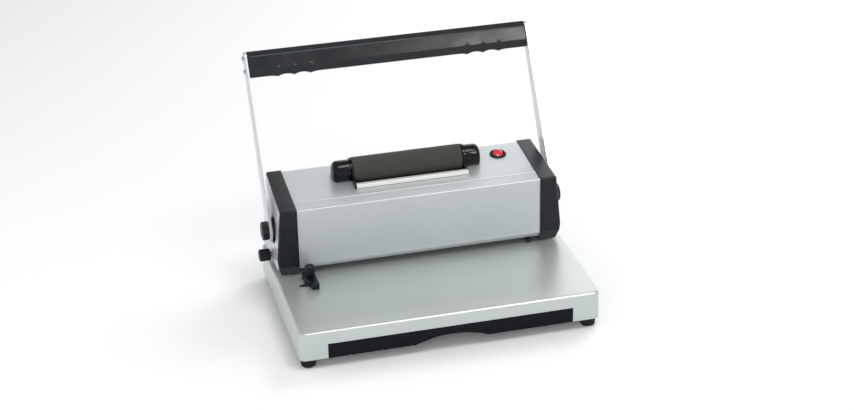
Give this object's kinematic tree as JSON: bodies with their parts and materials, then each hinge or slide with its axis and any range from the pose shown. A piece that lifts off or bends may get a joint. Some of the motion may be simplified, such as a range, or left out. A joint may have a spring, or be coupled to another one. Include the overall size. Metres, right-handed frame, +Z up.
{
  "type": "manual coil binding punch",
  "caption": "Lever-operated paper punch for spiral coil binding, with a foam roller coil inserter on its head, a chip drawer, an edge guide and a margin knob.",
  "frame": {"origin": "under the middle of the whole machine at rest, on the plane that the feet stand on", "axes": "+X to the user's right along the head and the lever's grip, +Y from the user to the back, +Z up"},
  "size_m": [0.4204, 0.3338, 0.3098],
  "materials": {
    "silver_paint": "satin silver-grey powder coat",
    "base_paint": "satin green-grey powder coat",
    "side_paint": "satin silver",
    "dark_steel": "black painted steel",
    "tool_steel": "ground",
    "bright_steel": "bright",
    "arm_metal": "satin nickel plate",
    "trough_metal": "satin",
    "black_plastic": "moulded satin black",
    "drawer_black": "smooth black",
    "grip_black": "semi-gloss black extrusion",
    "gloss_black": "polished black",
    "red_lens": "polished red",
    "black_rubber": "matte",
    "foam": "closed-cell foam",
    "supply_case": "zinc plated"
  },
  "bodies": {
    "frame": {"base_shell": "base_paint", "base_plate": "dark_steel", "foot_front_left": "black_rubber", "foot_front_right": "black_rubber", "foot_rear_left": "black_rubber", "foot_rear_right": "black_rubber", "right_stop": "black_plastic", "front_cover": "silver_paint", "top_cover": "silver_paint", "rear_cover": "silver_paint", "end_cap_right": "black_plastic", "end_cap_left": "black_plastic", "side_frame_right": "dark_steel", "side_frame_left": "dark_steel", "side_panel_right": "side_paint", "side_panel_left": "side_paint", "shaft_bearing_right": "bright_steel", "shaft_bearing_left": "bright_steel", "die_plate": "tool_steel", "die_bracket_right": "dark_steel", "die_bracket_left": "dark_steel", "pin_guide": "tool_steel", "ram_post_right": "tool_steel", "ram_post_left": "tool_steel", "return_spring_right": "bright_steel", "return_spring_left": "bright_steel", "trough_end_right": "black_plastic", "trough_end_left": "black_plastic", "trough_plate": "trough_metal", "roller_housing_right": "gloss_black", "roller_housing_left": "gloss_black", "switch_bezel": "gloss_black", "gear_motor": "dark_steel", "drive_belt": "black_rubber", "power_inlet": "black_plastic", "power_supply": "supply_case"},
    "lever": {"drive_shaft": "tool_steel", "pinion_right": "tool_steel", "pinion_left": "tool_steel", "handle_arm_right": "arm_metal", "handle_arm_left": "arm_metal", "handle_grip": "grip_black", "grip_screw_1_right": "bright_steel", "grip_screw_1_left": "bright_steel", "grip_screw_2_right": "bright_steel", "grip_screw_2_left": "bright_steel", "pivot_knob_right": "black_plastic", "pivot_knob_left": "black_plastic"},
    "ram": {"punch_ram": "tool_steel"},
    "roller": {"roller_sleeve": "foam", "roller_core": "black_plastic"},
    "pulley": {"motor_pulley": "black_plastic"},
    "margin_control": {"margin_spindle": "tool_steel", "margin_knob": "black_plastic"},
    "sheet_stop": {"margin_stop": "tool_steel"},
    "drawer": {"chip_drawer": "drawer_black"},
    "guide": {"edge_guide": "black_plastic"},
    "guide_clamp": {"edge_guide_knob": "black_plastic"},
    "rocker": {"switch_rocker": "red_lens"}
  },
  "joints": [
    {"name": "lever_pull", "type": "hinge", "parent": "frame", "child": "lever", "pos_m": [0.00225, 0.03612, 0.1015], "axis": [1, 0, 0], "range_deg": [0, 80], "stiffness_Nm_per_rad": 1.2, "springref_deg": -17.19},
    {"name": "ram_stroke", "type": "slide", "parent": "frame", "child": "ram", "axis": [0, 0, -1], "range_m": [0, 0.0127], "deforming": ["return_spring_right", "return_spring_left"]},
    {"name": "roller_spin", "type": "hinge", "parent": "frame", "child": "roller", "pos_m": [0.00225, 0.06207, 0.16183], "axis": [1, 0, 0], "continuous": true},
    {"name": "pulley_spin", "type": "hinge", "parent": "frame", "child": "pulley", "pos_m": [0.09326, 0.06207, 0.1], "axis": [1, 0, 0], "continuous": true},
    {"name": "stop_shift", "type": "slide", "parent": "frame", "child": "sheet_stop", "axis": [0, 1, 0], "range_m": [-0.0014, 0.0035]},
    {"name": "margin_turn", "type": "hinge", "parent": "frame", "child": "margin_control", "pos_m": [0.00225, 0.04212, 0.0623], "axis": [1, 0, 0], "range_deg": [-13.5, 33.6]},
    {"name": "drawer_slide", "type": "slide", "parent": "frame", "child": "drawer", "axis": [0, -1, 0], "range_m": [0, 0.17]},
    {"name": "guide_slide", "type": "slide", "parent": "frame", "child": "guide", "axis": [-1, 0, 0], "range_m": [-0.003, 0.006]},
    {"name": "guide_clamp_turn", "type": "hinge", "parent": "guide", "child": "guide_clamp", "pos_m": [-0.15526, -0.03088, 0.0687], "axis": [0, 0, 1], "range_deg": [-90, 90]},
    {"name": "switch_rock", "type": "hinge", "parent": "frame", "child": "rocker", "pos_m": [0.13345, 0.06983, 0.15205], "axis": [1, 0, 0], "range_deg": [-16, 0]}
  ],
  "couplings": [
    {"joint": "ram_stroke", "follows": "lever_pull", "m_per_rad": 0.009},
    {"joint": "pulley_spin", "follows": "roller_spin", "ratio": 1.36},
    {"joint": "margin_turn", "follows": "stop_shift", "rad_per_m": 166.67}
  ]
}
